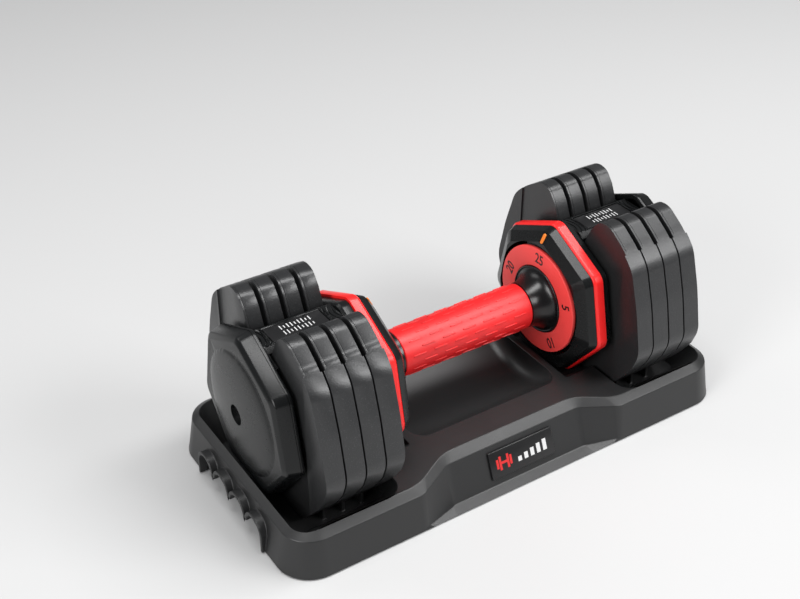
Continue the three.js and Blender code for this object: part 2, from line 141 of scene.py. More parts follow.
def node(tree, kind, settings=None, **links):
    # a new node; links are socket name to value or to another node's output
    made = tree.nodes.new(kind)
    for key, value in (settings or {}).items():
        setattr(made, key, value)
    for label, value in links.items():
        index = label[2:] if label.startswith("in") and label[2:].isdigit() else None
        socket = made.inputs[int(index)] if index else made.inputs[label.replace("_", " ")]
        if isinstance(value, bpy.types.NodeSocket):
            tree.links.new(value, socket)
        else:
            socket.default_value = value
    return made


def maths(tree, operation, a, b=0.0, clamp=False):
    settings = {"operation": operation, "use_clamp": clamp}
    return node(tree, "ShaderNodeMath", settings, in0=a, in1=b).outputs[0]


def makeMouldGrain():
    # fine spark-eroded grain of a moulding, with slow changes of gloss over it
    number = "NodeSocketFloat"
    group, given, out = newGroup(
        "mould_grain",
        {
            "Grain Size": (number, 0.0006),
            "Gloss": (number, 0.45),
            "Gloss Change": (number, 0.08),
            "Tone Change": (number, 0.15),
        },
        {"Height": number, "Roughness": number, "Tone": number},
    )
    place = node(group, "ShaderNodeTexCoord").outputs["Object"]
    perMetre = maths(group, "DIVIDE", 1.0, given["Grain Size"])
    grain = node(group, "ShaderNodeTexNoise", Vector=place, Scale=perMetre, Detail=3.0, Roughness=0.6)
    slow = node(group, "ShaderNodeTexNoise", Vector=place, Scale=22.0, Detail=4.0, Roughness=0.55)
    scuff = node(group, "ShaderNodeTexNoise", Vector=place, Scale=150.0, Detail=5.0, Roughness=0.7)
    centred = maths(group, "SUBTRACT", slow.outputs["Fac"], 0.5)
    fine = maths(group, "SUBTRACT", scuff.outputs["Fac"], 0.5)
    both = maths(group, "ADD", centred, maths(group, "MULTIPLY", fine, 0.6))
    rough = maths(group, "ADD", given["Gloss"], maths(group, "MULTIPLY", both, given["Gloss Change"]))
    tone = maths(group, "ADD", 1.0, maths(group, "MULTIPLY", both, given["Tone Change"]))
    group.links.new(grain.outputs["Fac"], out["Height"])
    group.links.new(rough, out["Roughness"])
    group.links.new(tone, out["Tone"])
    return group


def makeDust():
    # a thin veil of dust that settles on what faces up
    number = "NodeSocketFloat"
    group, given, out = newGroup("dust_veil", {"Amount": (number, 0.2)}, {"Mask": number})
    place = node(group, "ShaderNodeTexCoord").outputs["Object"]
    normal = node(group, "ShaderNodeNewGeometry").outputs["Normal"]
    facing = node(group, "ShaderNodeSeparateXYZ", Vector=normal)
    up = maths(group, "MULTIPLY", maths(group, "SUBTRACT", facing.outputs["Z"], 0.35), 1.6, clamp=True)
    specks = node(group, "ShaderNodeTexNoise", Vector=place, Scale=60.0, Detail=6.0, Roughness=0.75)
    cover = maths(group, "MULTIPLY", up, specks.outputs["Fac"])
    group.links.new(maths(group, "MULTIPLY", cover, given["Amount"], clamp=True), out["Mask"])
    return group


def makeCoatPebblesAndPaintedGlints():
    # the powder coat on the plates: a pebbled skin, with fine light specks in the colour that are painted
    # glints standing in for the coat's sparkle
    number = "NodeSocketFloat"
    group, given, out = newGroup(
        "coat_flecks",
        {"Pebble Size": (number, 0.0009), "Fleck Strength": (number, 0.5)},
        {"Height": number, "Fleck": number},
    )
    place = node(group, "ShaderNodeTexCoord").outputs["Object"]
    perMetre = maths(group, "DIVIDE", 1.0, given["Pebble Size"])
    pebbles = node(
        group, "ShaderNodeTexVoronoi", {"feature": "SMOOTH_F1"}, Vector=place, Scale=perMetre, Smoothness=0.6
    )
    finer = maths(group, "MULTIPLY", perMetre, 1.7)
    fine = node(group, "ShaderNodeTexNoise", Vector=place, Scale=finer, Detail=2.0)
    ripple = maths(group, "MULTIPLY", fine.outputs["Fac"], 0.6)
    height = maths(group, "ADD", pebbles.outputs["Distance"], ripple)
    # light specks where the fine noise is high: painted glints, not a pigment of the coat
    paintedGlintMask = maths(group, "MULTIPLY", maths(group, "SUBTRACT", fine.outputs["Fac"], 0.6), 5.0, clamp=True)
    group.links.new(height, out["Height"])
    group.links.new(maths(group, "MULTIPLY", paintedGlintMask, given["Fleck Strength"]), out["Fleck"])
    return group


mouldGrain = makeMouldGrain()
dustVeil = makeDust()
coatPebblesAndPaintedGlints = makeCoatPebblesAndPaintedGlints()
dustColour = (0.4, 0.4, 0.41)


def newMaterial(name, fixed=None):
    # fixed: values set straight on the shader's own sockets
    material = bpy.data.materials.new(name)
    material.use_nodes = True
    shader = material.node_tree.nodes["Principled BSDF"]
    for label, value in (fixed or {}).items():
        shader.inputs[label].default_value = value
    return material, material.node_tree, shader


def useGroup(tree, group, **values):
    made = node(tree, "ShaderNodeGroup", {"node_tree": group})
    for label, value in values.items():
        made.inputs[label.replace("_", " ")].default_value = value
    return made.outputs


def scaledColour(tree, colour, tone):
    # a colour made lighter or darker by a number that changes over the surface
    rgb = node(tree, "ShaderNodeRGB")
    rgb.outputs[0].default_value = (*colour, 1)
    scaled = node(tree, "ShaderNodeVectorMath", {"operation": "SCALE"}, in0=rgb.outputs[0], Scale=tone)
    return scaled.outputs[0]


def blendColour(tree, mask, a, b):
    mix = tree.nodes.new("ShaderNodeMix")
    mix.data_type = "RGBA"
    tree.links.new(mask, mix.inputs[0])
    for value, socket in ((a, mix.inputs[6]), (b, mix.inputs[7])):
        if isinstance(value, bpy.types.NodeSocket):
            tree.links.new(value, socket)
        else:
            socket.default_value = (*value, 1)
    return mix.outputs[2]


def bumped(tree, shader, height, depth, strength=1.0):
    bump = node(tree, "ShaderNodeBump", Height=height, Distance=depth, Strength=strength)
    tree.links.new(bump.outputs["Normal"], shader.inputs["Normal"])


def plastic(name, colour, gloss, grainSize=0.0006, grainDepth=0.00002, dust=0.15, change=0.1, fixed=None):
    # moulded plastic or rubber: one colour, a fine grain and a little dust on top
    material, tree, shader = newMaterial(name, fixed)
    grain = useGroup(tree, mouldGrain, Grain_Size=grainSize, Gloss=gloss, Gloss_Change=change)
    veil = useGroup(tree, dustVeil, Amount=dust)
    base = scaledColour(tree, colour, grain["Tone"])
    tree.links.new(blendColour(tree, veil["Mask"], base, dustColour), shader.inputs["Base Color"])
    tree.links.new(grain["Roughness"], shader.inputs["Roughness"])
    bumped(tree, shader, grain["Height"], grainDepth)
    return material


def makePlateCoat():
    # dark powder coat on the iron plates
    look = {
        "colour": (0.022, 0.0225, 0.0235),
        "fleck": (0.3, 0.3, 0.31),
        "fleckStrength": 0.2,
        "gloss": 0.34,
        "glossChange": 0.12,
        "patches": 0.004,
        "pebbles": 0.0011,
        "depth": 0.00004,
    }
    material, tree, shader = newMaterial("plate_coat", {"Metallic": 0.2, "Specular IOR Level": 0.6})
    grain = useGroup(
        tree, mouldGrain, Grain_Size=look["patches"], Gloss=look["gloss"], Gloss_Change=look["glossChange"]
    )
    coat = useGroup(tree, coatPebblesAndPaintedGlints, Pebble_Size=look["pebbles"], Fleck_Strength=look["fleckStrength"])
    base = scaledColour(tree, look["colour"], grain["Tone"])
    # the light specks mixed into the base colour here are painted glints
    tree.links.new(blendColour(tree, coat["Fleck"], base, look["fleck"]), shader.inputs["Base Color"])
    tree.links.new(grain["Roughness"], shader.inputs["Roughness"])
    bumped(tree, shader, coat["Height"], look["depth"])
    return material


def makeGripRubber():
    # soft rubber: a fine skin, faintly duller and darker in patches where hands go
    look = {
        "colour": (0.72, 0.01, 0.012),
        "worn": (0.5, 0.012, 0.014),
        "gloss": 0.42,
        "glossChange": 0.14,
        "grain": 0.0005,
        "depth": 0.00003,
    }
    material, tree, shader = newMaterial("grip_rubber", {"Specular IOR Level": 0.55})
    grain = useGroup(
        tree, mouldGrain, Grain_Size=look["grain"], Gloss=look["gloss"], Gloss_Change=look["glossChange"]
    )
    place = node(tree, "ShaderNodeTexCoord").outputs["Object"]
    patches = node(tree, "ShaderNodeTexNoise", Vector=place, Scale=45.0, Detail=4.0, Roughness=0.6)
    worn = maths(tree, "MULTIPLY", maths(tree, "SUBTRACT", patches.outputs["Fac"], 0.5), 2.5, clamp=True)
    base = scaledColour(tree, look["colour"], grain["Tone"])
    tree.links.new(blendColour(tree, worn, base, look["worn"]), shader.inputs["Base Color"])
    tree.links.new(grain["Roughness"], shader.inputs["Roughness"])
    bumped(tree, shader, grain["Height"], look["depth"])
    return material


def makeSteel():
    # turned steel, with fine rings along its axis
    look = {"colour": (0.5, 0.5, 0.51), "ringScale": (3000, 60, 60), "depth": 0.00001}
    material, tree, shader = newMaterial("steel", {"Metallic": 1.0})
    place = node(tree, "ShaderNodeTexCoord").outputs["Object"]
    stretched = node(tree, "ShaderNodeMapping", Vector=place)
    stretched.inputs["Scale"].default_value = look["ringScale"]
    rings = node(tree, "ShaderNodeTexNoise", Vector=stretched.outputs[0], Scale=1.0, Detail=2.0)
    rough = maths(tree, "ADD", 0.25, maths(tree, "MULTIPLY", rings.outputs["Fac"], 0.2))
    tone = maths(tree, "ADD", 0.85, maths(tree, "MULTIPLY", rings.outputs["Fac"], 0.3))
    tree.links.new(scaledColour(tree, look["colour"], tone), shader.inputs["Base Color"])
    tree.links.new(rough, shader.inputs["Roughness"])
    bumped(tree, shader, rings.outputs["Fac"], look["depth"])
    return material


finishes = {
    "tray_plastic": plastic("tray_plastic", (0.013, 0.0132, 0.0136), 0.4, dust=0.02),
    "cover_plastic": plastic(
        "cover_plastic",
        (0.0045, 0.005, 0.0053),
        0.27,
        grainSize=0.0005,
        dust=0.01,
        fixed={"Specular IOR Level": 0.32},
    ),
    "gloss_plastic": plastic(
        "gloss_plastic", (0.003, 0.003, 0.0035), 0.27, grainDepth=0.000002, dust=0.0, change=0.04
    ),
    "red_plastic": plastic("red_plastic", (0.83, 0.012, 0.012), 0.33, grainDepth=0.00001, dust=0.02),
    "dial_red": plastic("dial_red", (0.93, 0.07, 0.065), 0.5, grainDepth=0.00001, dust=0.0),
    "orange_plastic": plastic("orange_plastic", (0.85, 0.22, 0.02), 0.45, dust=0.02),
    "black_rubber": plastic("black_rubber", (0.012, 0.012, 0.013), 0.8, grainSize=0.001, grainDepth=0.00006),
    "grey_plastic": plastic("grey_plastic", (0.09, 0.09, 0.095), 0.5),
    "ink_dark": plastic("ink_dark", (0.012, 0.004, 0.004), 0.5, dust=0.0),
    "ink_light": plastic("ink_light", (0.62, 0.62, 0.62), 0.5, dust=0.0),
    "ink_red": plastic("ink_red", (0.6, 0.015, 0.015), 0.5, dust=0.0),
    "panel_dark": plastic("panel_dark", (0.005, 0.005, 0.0055), 0.3, grainDepth=0.000004, dust=0.02),
    "plate_coat": makePlateCoat(),
    "red_rubber": makeGripRubber(),
    "steel": makeSteel(),
}
print("materials ready:", len(finishes))


def clearSelection():
    if bpy.context.mode != "OBJECT":
        bpy.ops.object.mode_set(mode="OBJECT")
    bpy.ops.object.select_all(action="DESELECT")


def take(piece):
    clearSelection()
    piece.select_set(True)
    bpy.context.view_layer.objects.active = piece


def settle(piece):
    # put place, turn and scale into the mesh
    take(piece)
    bpy.ops.object.transform_apply(location=True, rotation=True, scale=True)


def named(name):
    piece = bpy.context.object
    piece.name = piece.data.name = name
    settle(piece)
    return piece


def edit(piece, kind="VERT"):
    take(piece)
    bpy.context.tool_settings.mesh_select_mode = [kind == each for each in ("VERT", "EDGE", "FACE")]
    bpy.ops.object.mode_set(mode="EDIT")


def pick(piece, kind, test):
    # goes into edit mode with the verts, edges or faces whose middle passes the test
    take(piece)
    mesh = piece.data
    for group in (mesh.vertices, mesh.edges, mesh.polygons):
        group.foreach_set("select", [False] * len(group))
    if kind == "VERT":
        for vertex in mesh.vertices:
            vertex.select = test(vertex.co)
    elif kind == "EDGE":
        for edge in mesh.edges:
            a, b = (mesh.vertices[i].co for i in edge.vertices)
            edge.select = test((a + b) / 2)
    else:
        for face in mesh.polygons:
            face.select = test(face.center)
    edit(piece, kind)


def extrudeBy(move):
    bpy.ops.mesh.extrude_region_move(TRANSFORM_OT_translate={"value": move})


def resizeBy(value, centre=axisPoint):
    bpy.ops.transform.resize(value=value, center_override=centre)


def drawn(name, points):
    # one vertex drawn out from point to point, then filled
    clearSelection()
    bpy.ops.mesh.primitive_plane_add(size=0.001, location=points[0])
    piece = named(name)
    edit(piece)
    bpy.ops.mesh.select_all(action="SELECT")
    bpy.ops.mesh.merge(type="CENTER")
    for before, after in zip(points, points[1:]):
        move = Vector(after) - Vector(before)
        bpy.ops.mesh.extrude_vertices_move(TRANSFORM_OT_translate={"value": move})
    bpy.ops.mesh.select_all(action="SELECT")
    bpy.ops.mesh.edge_face_add()
    bpy.ops.object.mode_set(mode="OBJECT")
    return piece


def joined(pieces, name):
    clearSelection()
    for piece in pieces:
        piece.select_set(True)
    bpy.context.view_layer.objects.active = pieces[0]
    bpy.ops.object.join()
    return named(name)


def loop(points):
    # a drawn outline with its edges only
    outline = drawn("loop", points)
    edit(outline)
    bpy.ops.mesh.select_all(action="SELECT")
    bpy.ops.mesh.delete(type="ONLY_FACE")
    bpy.ops.object.mode_set(mode="OBJECT")
    return outline


def bridged(a, b):
    # two outlines with as many points each, joined by a band of faces
    pair = joined([a, b], "band")
    edit(pair, "EDGE")
    bpy.ops.mesh.select_all(action="SELECT")
    bpy.ops.mesh.bridge_edge_loops()
    bpy.ops.object.mode_set(mode="OBJECT")
    return pair


def strip(points):
    # closes an outline with straight bands that run from its front to its back
    front = [p for p in points if p[1] < 0]
    chains = []
    for side in (1, -1):
        chain = [(x, y * side, z) for x, y, z in front]
        outline = loop(chain)
        first, last = Vector(chain[0]), Vector(chain[-1])
        middle = (first + last) / 2
        pick(outline, "EDGE", lambda c: (c - middle).length < near)
        bpy.ops.mesh.delete(type="EDGE")
        bpy.ops.object.mode_set(mode="OBJECT")
        chains.append(outline)
    return bridged(*chains)


def lofted(name, rings, banded=False):
    # rings with as many points each, joined one to the next and closed at both ends;
    # a waisted end is closed in bands, a plain one by a single face
    bands = [bridged(loop(a), loop(b)) for a, b in zip(rings, rings[1:])]
    ends = [strip(ring) if banded else drawn("end", ring) for ring in (rings[0], rings[-1])]
    piece = joined(bands + ends, name)
    facesOut(piece)
    return piece


def modified(piece, kind, **settings):
    take(piece)
    bpy.ops.object.modifier_add(type=kind)
    modifier = piece.modifiers[-1]
    for key, value in settings.items():
        setattr(modifier, key, value)
    bpy.ops.object.modifier_apply(modifier=modifier.name)


def carve(piece, cutter, operation="DIFFERENCE"):
    modified(piece, "BOOLEAN", object=cutter, operation=operation, solver="EXACT")
    bpy.data.objects.remove(cutter)


def facesOut(piece):
    edit(piece)
    bpy.ops.mesh.select_all(action="SELECT")
    bpy.ops.mesh.remove_doubles(threshold=0.000005)
    bpy.ops.mesh.normals_make_consistent(inside=False)
    bpy.ops.object.mode_set(mode="OBJECT")


def rounded(piece, width, segments=3, angle=30):
    modified(
        piece,
        "BEVEL",
        width=width,
        segments=segments,
        limit_method="ANGLE",
        angle_limit=math.radians(angle),
        miter_outer="MITER_ARC",
        use_clamp_overlap=True,
    )


def smooth(piece, angle=32):
    take(piece)
    bpy.ops.object.shade_smooth_by_angle(angle=math.radians(angle))


def evened(piece, angle=32):
    # smooth shading that follows the large faces, so the small bevels carry the light
    smooth(piece, angle)
    modified(piece, "WEIGHTED_NORMAL", keep_sharp=True, weight=60)


def copied(piece, name, move=(0, 0, 0), scale=(1, 1, 1)):
    twin = piece.copy()
    twin.data = piece.data.copy()
    twin.name = twin.data.name = name
    bpy.context.scene.collection.objects.link(twin)
    twin.location, twin.scale = move, scale
    settle(twin)
    if scale[0] * scale[1] * scale[2] < 0:
        facesOut(twin)
    return twin


def finishPiece(piece, finish, body, stands=()):
    piece.data.materials.clear()
    piece.data.materials.append(finishes[finish])
    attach(piece, body)
    if stands:
        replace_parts(piece, *stands)


def mirroredPair(piece, base, finish, body, stands=None):
    # the piece is the right one; the left one is its mirror image
    stem = stands or base
    piece.name = piece.data.name = f"{base}_right_look"
    left = copied(piece, f"{base}_left_look", scale=(-1, 1, 1))
    smooth(left)
    finishPiece(piece, finish, body, [f"{stem}_right"])
    finishPiece(left, finish, body, [f"{stem}_left"])


def rod(name, x0, x1, radius, vertices=96):
    clearSelection()
    bpy.ops.mesh.primitive_cylinder_add(
        vertices=vertices,
        radius=radius,
        depth=x1 - x0,
        location=((x0 + x1) / 2, 0, axisZ),
        rotation=(0, math.pi / 2, 0),
    )
    return named(name)


def block(name, low, high):
    clearSelection()
    size = [b - a for a, b in zip(low, high)]
    middle = [(a + b) / 2 for a, b in zip(low, high)]
    bpy.ops.mesh.primitive_cube_add(size=1, location=middle, scale=size)
    return named(name)


def disc(name, radius, depth, place):
    clearSelection()
    bpy.ops.mesh.primitive_cylinder_add(vertices=96, radius=radius, depth=depth, location=place)
    return named(name)


def atEdges(long, wide, axes):
    # a test for the edges of a bar that run through its thickness
    a, b = axes
    return lambda c: abs(abs(c[a]) - long / 2) < near and abs(abs(c[b]) - wide / 2) < near


def turned(name, profile, steps=96):
    # a closed outline of (x, radius) points spun round the handle axis
    piece = drawn(name, [(x, 0, axisZ + r) for x, r in profile])
    edit(piece)
    bpy.ops.mesh.select_all(action="SELECT")
    bpy.ops.mesh.delete(type="ONLY_FACE")
    bpy.ops.mesh.select_all(action="SELECT")
    bpy.ops.mesh.spin(steps=steps, angle=2 * math.pi, center=axisPoint, axis=(1, 0, 0))
    bpy.ops.object.mode_set(mode="OBJECT")
    facesOut(piece)
    return piece


def arc(centre, radius, start, end, steps):
    # (x, radius) points on an arc, angles in degrees
    angles = [math.radians(start + (end - start) * i / steps) for i in range(steps + 1)]
    return [(centre[0] + radius * math.cos(a), centre[1] + radius * math.sin(a)) for a in angles]


def headBlock(name, sections, rounding=0.009, sides=7):
    # a seven-sided block with one corner up, drawn out along X; sections are (x, radius)
    x, radius = sections[0]
    clearSelection()
    bpy.ops.mesh.primitive_circle_add(
        vertices=sides,
        radius=radius,
        fill_type="NGON",
        location=(x, 0, axisZ),
        rotation=(math.pi / 2, 0, math.pi / 2),
    )
    piece = named(name)
    edit(piece)
    bpy.ops.mesh.select_all(action="SELECT")
    bpy.ops.mesh.bevel(offset=rounding * math.tan(math.pi / sides), segments=8, affect="VERTICES")
    bpy.ops.object.mode_set(mode="OBJECT")
    pick(piece, "FACE", lambda c: True)
    for nextX, nextRadius in sections[1:]:
        extrudeBy((nextX - x, 0, 0))
        ratio = nextRadius / radius
        resizeBy((1, ratio, ratio))
        x, radius = nextX, nextRadius
    bpy.ops.object.mode_set(mode="OBJECT")
    facesOut(piece)
    return piece


# the handle turns as one: grip, collars and dials
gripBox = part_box("grip_sleeve")
gripEnd = gripBox[1][0]
gripRadius = gripBox[1][2] - axisZ
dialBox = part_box("dial_ring_right")
dialFront, dialBack = dialBox[0][0], dialBox[1][0]


def makeGrip():
    look = {"bore": 0.0133, "lip": 0.0012}
    lip = look["lip"]
    half = [(gripEnd, look["bore"]), *arc((gripEnd - lip, gripRadius - lip), lip, 0, 90, 5)]
    profile = half + [(-x, r) for x, r in reversed(half)]
    grip = turned("grip_sleeve_look", profile, 128)
    smooth(grip)
    finishPiece(grip, "red_rubber", "handle", stands=["grip_sleeve"])


def makeDashes():
    # short raised dashes along the grip, each row shifted by half a step
    look = {
        "rows": 20,
        "perRow": 6,
        "pitch": 0.017,
        "long": 0.0105,
        "wide": 0.0013,
        "proud": 0.00045,
        "sunk": 0.0006,
    }
    clearSelection()
    bpy.ops.mesh.primitive_cube_add(
        size=1,
        location=(0, 0, axisZ + gripRadius + (look["proud"] - look["sunk"]) / 2),
        scale=(look["long"], look["wide"], look["proud"] + look["sunk"]),
    )
    first = named("dash")
    pick(first, "EDGE", atEdges(look["long"], look["wide"], (0, 1)))
    bpy.ops.mesh.bevel(offset=look["wide"] * 0.45, segments=2)
    bpy.ops.object.mode_set(mode="OBJECT")
    pick(first, "FACE", lambda c: c.z > axisZ + gripRadius + look["proud"] * 0.9)
    bpy.ops.mesh.bevel(offset=look["proud"] * 0.7, segments=2)
    bpy.ops.object.mode_set(mode="OBJECT")
    rows = []
    for row in range(look["rows"]):
        count = look["perRow"] - row % 2
        places = [(i - (count - 1) / 2) * look["pitch"] for i in range(count)]
        whole = joined([copied(first, "dash_copy", move=(x, 0, 0)) for x in places], "dash_row")
        edit(whole)
        bpy.ops.mesh.select_all(action="SELECT")
        turn = 2 * math.pi * row / look["rows"]
        bpy.ops.transform.rotate(value=turn, orient_axis="X", center_override=axisPoint)
        bpy.ops.object.mode_set(mode="OBJECT")
        rows.append(whole)
    bpy.data.objects.remove(first)
    dashes = joined(rows, "grip_dashes")
    smooth(dashes, 40)
    finishPiece(dashes, "red_rubber", "handle")


def makeCollars():
    # each collar flares out from the grip to the dial, with a soft lip
    look = {
        "start": 0.0543,
        "back": 0.077,
        "bore": 0.0048,
        "socket": 0.0133,
        "socketEnd": 0.0658,
        "rim": 0.0257,
        "soft": 0.0008,
        "sweep": 84,
    }
    rise = look["rim"] - gripRadius
    run = dialFront - look["start"]
    flare = [
        (look["start"] + run * math.sin(a), gripRadius + rise * (1 - math.cos(a)))
        for a in [math.radians(look["sweep"] * i / 16) for i in range(17)]
    ]
    soft = look["soft"]
    lip = arc((dialFront, look["rim"] - soft), soft, 180, 90, 5)
    flare = [point for point in flare if point[1] < look["rim"] - soft * 1.2] + lip
    profile = [
        (look["start"], look["socket"]),
        *flare,
        (look["back"], look["rim"]),
        (look["back"], look["bore"]),
        (look["socketEnd"], look["bore"]),
        (look["socketEnd"], look["socket"]),
    ]
    collar = turned("collar", profile, 112)
    smooth(collar, 40)
    mirroredPair(collar, "collar", "gloss_plastic", "handle")


dialLook = {
    "inner": 0.026,
    "outer": 0.041,
    "edge": 0.0005,
    "numbers": ("25", "20", "15", "10", "5"),
    "numberStep": 72,
    "numberSize": 0.0112,
    "numberWidth": 0.82,
    "numberAt": 0.0335,
    "inkDepth": 0.00012,
    "inkSunk": 0.00005,
}


def makeDials():
    ring = turned(
        "dial",
        [
            (dialFront, dialLook["inner"]),
            (dialFront, dialLook["outer"]),
            (dialBack, dialLook["outer"]),
            (dialBack, dialLook["inner"]),
        ],
        128,
    )
    rounded(ring, dialLook["edge"], 3)
    smooth(ring)
    mirroredPair(ring, "dial_ring", "dial_red", "handle")


def makeNumbers(end, side):
    # the numbers stand round the dial, tops outward, read from the grip
    marks = []
    for index, text in enumerate(dialLook["numbers"]):
        clearSelection()
        bpy.ops.object.text_add()
        label = bpy.context.object
        label.data.body = text
        label.data.size = dialLook["numberSize"]
        label.data.align_x = "CENTER"
        label.data.align_y = "CENTER"
        label.data.extrude = dialLook["inkDepth"]
        label.data.offset = dialLook["inkDepth"]
        label.data.resolution_u = 4
        label.scale = (dialLook["numberWidth"], 1, 1)
        take(label)
        bpy.ops.object.convert(target="MESH")
        mark = bpy.context.object
        bpy.ops.object.transform_apply(location=True, rotation=True, scale=True)
        mark.location = (0, 0, 0)
        # stand the text up facing the grip, then swing it to its place on the dial
        mark.rotation_euler = (math.pi / 2, 0, -side * math.pi / 2)
        settle(mark)
        mark.location = (side * (dialFront - dialLook["inkSunk"]), 0, dialLook["numberAt"])
        settle(mark)
        mark.rotation_euler = (-math.radians(dialLook["numberStep"] * index), 0, 0)
        settle(mark)
        mark.location = axisPoint
        settle(mark)
        marks.append(mark)
    finishPiece(joined(marks, f"dial_numbers_{end}"), "ink_dark", "handle")


makeGrip()
makeDashes()
makeCollars()
makeDials()
for end, side in (("right", 1), ("left", -1)):
    makeNumbers(end, side)
print("handle made")

# the heads' shells, from the dial outwards; sections are (x, radius) and rods are (from x, to x, radius)
coverLook = {
    "sections": [(0.081, 0.0585), (0.0755, 0.056)],
    "face": (0.0706, 0.0452),
    "mouth": (0.06, 0.09, 0.0438),
    "chamber": (0.0765, 0.09, 0.049),
    "edge": 0.0007,
}
bandLook = {
    "sections": [(0.0813, 0.0588), (0.0829, 0.06), (0.089, 0.06)],
    "bore": (0.075, 0.095, 0.049),
    "footHalf": 0.0056,
    "footReach": (0.01, 0.034),
    "footPlay": 0.0005,
    "edge": 0.0006,
}
housingLook = {
    "sections": [(0.0893, 0.058), (0.0945, 0.057), (0.0965, 0.0555)],
    "cavity": (0.08, 0.0925, 0.046),
    "hole": (0.08, 0.1, 0.008),
    "window": ((0.085, -0.0124, axisZ + 0.0346), (0.1, 0.0124, axisZ + 0.0434)),
    "edge": 0.0006,
}
capLook = {
    "sections": [(0.1565, 0.0606), (0.1581, 0.061), (0.168, 0.0583), (0.1700, 0.0545)],
    "dome": [
        (0.1680, 0.003),
        (0.1680, 0.0452),
        (0.1696, 0.0448),
        (0.1706, 0.0434),
        (0.1714, 0.0408),
        (0.1721, 0.037),
        (0.1728, 0.031),
        (0.1734, 0.024),
        (0.1738, 0.016),
        (0.174, 0.008),
        (0.174, 0.003),
    ],
    "seam": [(0.1591, 0.07), (0.1595, 0.07)],
    "seamCore": [(0.157, 0.0602), (0.162, 0.0596)],
    "hollow": [(0.15, 0.059), (0.1652, 0.0546)],
    "boss": (0.158, 0.168, 0.012),
    "hole": (0.15, 0.18, 0.0072),
    "edge": 0.0011,
}


def ringRadius(piece):
    # mean distance of the selected verts from the axis, in edit mode
    piece.update_from_editmode()
    reach = [math.hypot(v.co.y, v.co.z - axisZ) for v in piece.data.vertices if v.select]
    return sum(reach) / len(reach)


def roundFace(piece, x, nextX, radius):
    # carries the end face at x on to a round face of that radius
    pick(piece, "FACE", lambda c: abs(c.x - x) < 0.0001)
    extrudeBy((nextX - x, 0, 0))
    bpy.ops.transform.tosphere(value=1)
    resizeBy((0, 1, 1), (nextX, 0, axisZ))
    ratio = radius / ringRadius(piece)
    resizeBy((1, ratio, ratio))
    bpy.ops.object.mode_set(mode="OBJECT")
    facesOut(piece)


def makeCovers():
    cover = headBlock("front_cover", coverLook["sections"])
    roundFace(cover, coverLook["sections"][-1][0], *coverLook["face"])
    carve(cover, rod("mouth", *coverLook["mouth"]))
    carve(cover, rod("chamber", *coverLook["chamber"]))
    rounded(cover, coverLook["edge"], 3, 18)
    evened(cover)
    mirroredPair(cover, "front_cover", "cover_plastic", "core")


def makeBands():
    look = bandLook
    band = headBlock("red_band", look["sections"])
    carve(band, rod("bore", *look["bore"]))
    # the lock slider's foot comes down through the band
    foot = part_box("lock_slider_right")
    low = (foot[0][0] - look["footPlay"], -look["footHalf"], look["footReach"][0])
    high = (foot[1][0] + look["footPlay"], look["footHalf"], look["footReach"][1])
    carve(band, block("foot_hole", low, high))
    rounded(band, bandLook["edge"], 3, 20)
    evened(band)
    mirroredPair(band, "red_band", "red_plastic", "core")


def makeHousings():
    housing = headBlock("back_housing", housingLook["sections"])
    carve(housing, rod("cavity", *housingLook["cavity"]))
    carve(housing, rod("hole", *housingLook["hole"], 64))
    carve(housing, block("window", *housingLook["window"]))
    rounded(housing, housingLook["edge"], 3, 20)
    evened(housing)
    mirroredPair(housing, "back_housing", "cover_plastic", "core")


def makeEndCaps():
    cap = headBlock("end_cap", capLook["sections"])
    rounded(cap, capLook["edge"], 4, 18)
    carve(cap, turned("dome", capLook["dome"]), "UNION")
    # a fine seam line runs round the cap
    seam = headBlock("seam", capLook["seam"])
    carve(seam, headBlock("seam_core", capLook["seamCore"]))
    carve(cap, seam)
    carve(cap, headBlock("hollow", capLook["hollow"], 0.007))
    carve(cap, rod("inner_boss", *capLook["boss"], 64), "UNION")
    carve(cap, rod("hole", *capLook["hole"], 64))
    evened(cap, 40)
    mirroredPair(cap, "end_cap", "cover_plastic", "core")


pointerLook = {"long": 0.0078, "wide": 0.0026, "thick": 0.0009, "lift": 0.0003, "reach": 0.055}


def makePointers():
    # a rounded bar that lies on the cover's sloping face above the dial
    bar = pointerLook
    faceX, faceRadius = coverLook["face"]
    low = Vector((faceX, 0, axisZ + faceRadius))
    high = Vector((coverLook["sections"][-1][0], 0, axisZ + bar["reach"]))
    clearSelection()
    bpy.ops.mesh.primitive_cube_add(size=1, scale=(bar["thick"], bar["wide"], bar["long"]))
    pointer = named("pointer")
    pick(pointer, "EDGE", atEdges(bar["long"], bar["wide"], (2, 1)))
    bpy.ops.mesh.bevel(offset=bar["wide"] * 0.48, segments=6)
    bpy.ops.object.mode_set(mode="OBJECT")
    rounded(pointer, 0.0002, 2, 40)
    pointer.location = (-bar["thick"] / 2 - bar["lift"], 0, 0)
    settle(pointer)
    pointer.rotation_euler = (0, math.atan2(high.x - low.x, high.z - low.z), 0)
    settle(pointer)
    pointer.location = low.lerp(high, 0.5)
    settle(pointer)
    smooth(pointer)
    mirroredPair(pointer, "pointer", "orange_plastic", "core")


makeCovers()
makeBands()
makeHousings()
makeEndCaps()
makePointers()
print("heads made")

